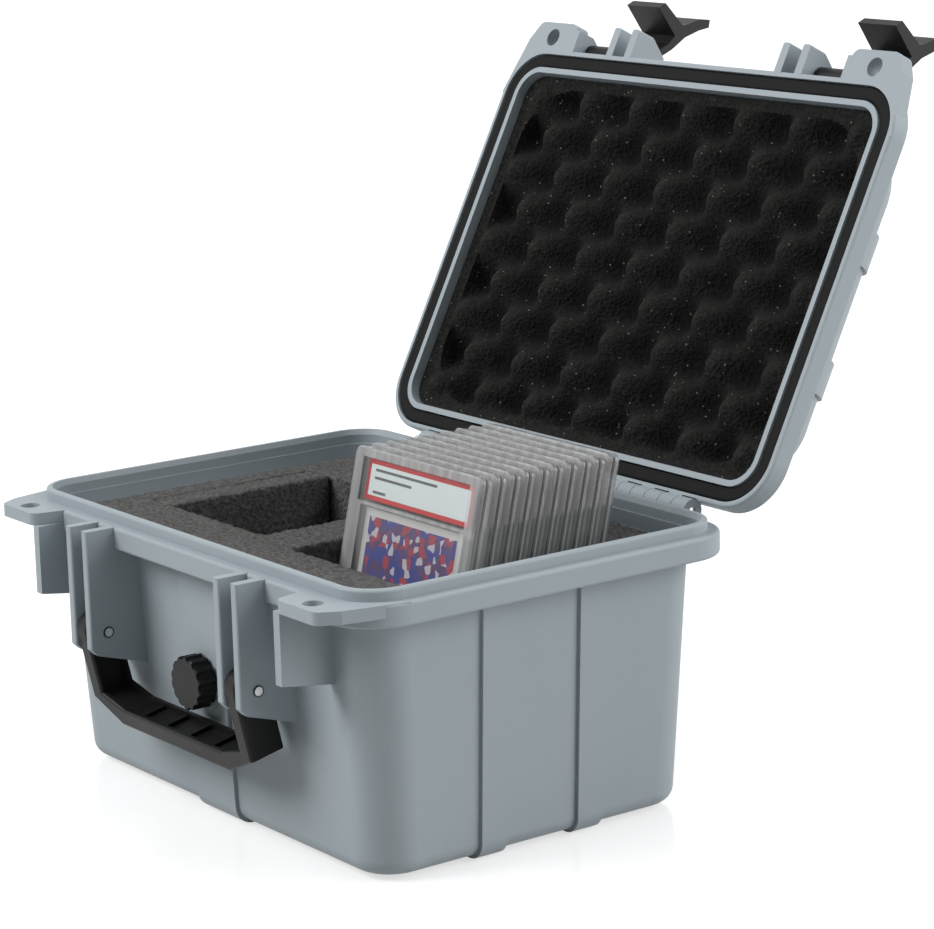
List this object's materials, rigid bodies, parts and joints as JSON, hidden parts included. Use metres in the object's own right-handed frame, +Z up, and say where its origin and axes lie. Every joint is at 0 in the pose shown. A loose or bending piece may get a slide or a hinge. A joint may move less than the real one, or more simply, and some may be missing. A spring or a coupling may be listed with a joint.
{
  "type": "graded card storage box",
  "caption": "Hard moulded case with a hinged lid, draw latches, carrying handle and purge valve; slotted foam holds graded card slabs on edge under an egg-crate lid pad.",
  "frame": {"origin": "middle of the base's runners, on the floor", "axes": "+X along the case to the right, -Y the handle side, +Z up"},
  "size_m": [0.25, 0.3404, 0.2961],
  "materials": {
    "case_shell": "light blue-grey moulded plastic, fine matt grain",
    "slot_foam": "dark grey open cell foam",
    "crate_foam": "black convoluted foam",
    "seal_rubber": "black rubber",
    "black_plastic": "black moulded plastic",
    "pin_steel": "plain steel pin",
    "clear_slab": "clear welded plastic",
    "card_print": "printed card"
  },
  "bodies": {
    "base": {"base_shell": "case_shell", "base_foam": "slot_foam", "foam_filler": "slot_foam", "hinge_pins": "pin_steel", "handle_pins": "pin_steel", "valve_insert": "black_plastic", "valve_seal": "seal_rubber", "slab_1": "clear_slab", "slab_2": "clear_slab", "slab_3": "clear_slab", "slab_4": "clear_slab", "slab_5": "clear_slab", "slab_6": "clear_slab", "slab_7": "clear_slab", "slab_8": "clear_slab", "slab_9": "clear_slab", "slab_10": "clear_slab", "graded_card_1": "card_print", "graded_card_2": "card_print", "graded_card_3": "card_print", "graded_card_4": "card_print", "graded_card_5": "card_print", "graded_card_6": "card_print", "graded_card_7": "card_print", "graded_card_8": "card_print", "graded_card_9": "card_print", "graded_card_10": "card_print"},
    "lid": {"lid_shell": "case_shell", "lid_gasket": "seal_rubber", "lid_foam": "crate_foam", "latch_pins": "pin_steel"},
    "latch_left": {"latch_left": "black_plastic"},
    "latch_right": {"latch_right": "black_plastic"},
    "handle": {"handle": "black_plastic"},
    "valve_knob": {"valve_knob": "black_plastic"}
  },
  "joints": [
    {"name": "lid_hinge", "type": "hinge", "parent": "base", "child": "lid", "pos_m": [0, 0.09424, 0.11208], "axis": [1, 0, 0], "range_deg": [0, 117], "deforming": ["lid_foam", "lid_gasket"]},
    {"name": "latch_left_pivot", "type": "hinge", "parent": "lid", "child": "latch_left", "pos_m": [-0.07435, 0.18821, 0.27378], "axis": [1, 0, 0], "range_deg": [0, 120]},
    {"name": "latch_right_pivot", "type": "hinge", "parent": "lid", "child": "latch_right", "pos_m": [0.07435, 0.18821, 0.27378], "axis": [1, 0, 0], "range_deg": [0, 120]},
    {"name": "handle_swing", "type": "hinge", "parent": "base", "child": "handle", "pos_m": [0, -0.0946, 0.0695], "axis": [-1, 0, 0], "range_deg": [0, 105]},
    {"name": "valve_turn", "type": "hinge", "parent": "base", "child": "valve_knob", "pos_m": [0, -0.08, 0.0572], "axis": [0, -1, 0], "range_deg": [0, 270]}
  ]
}
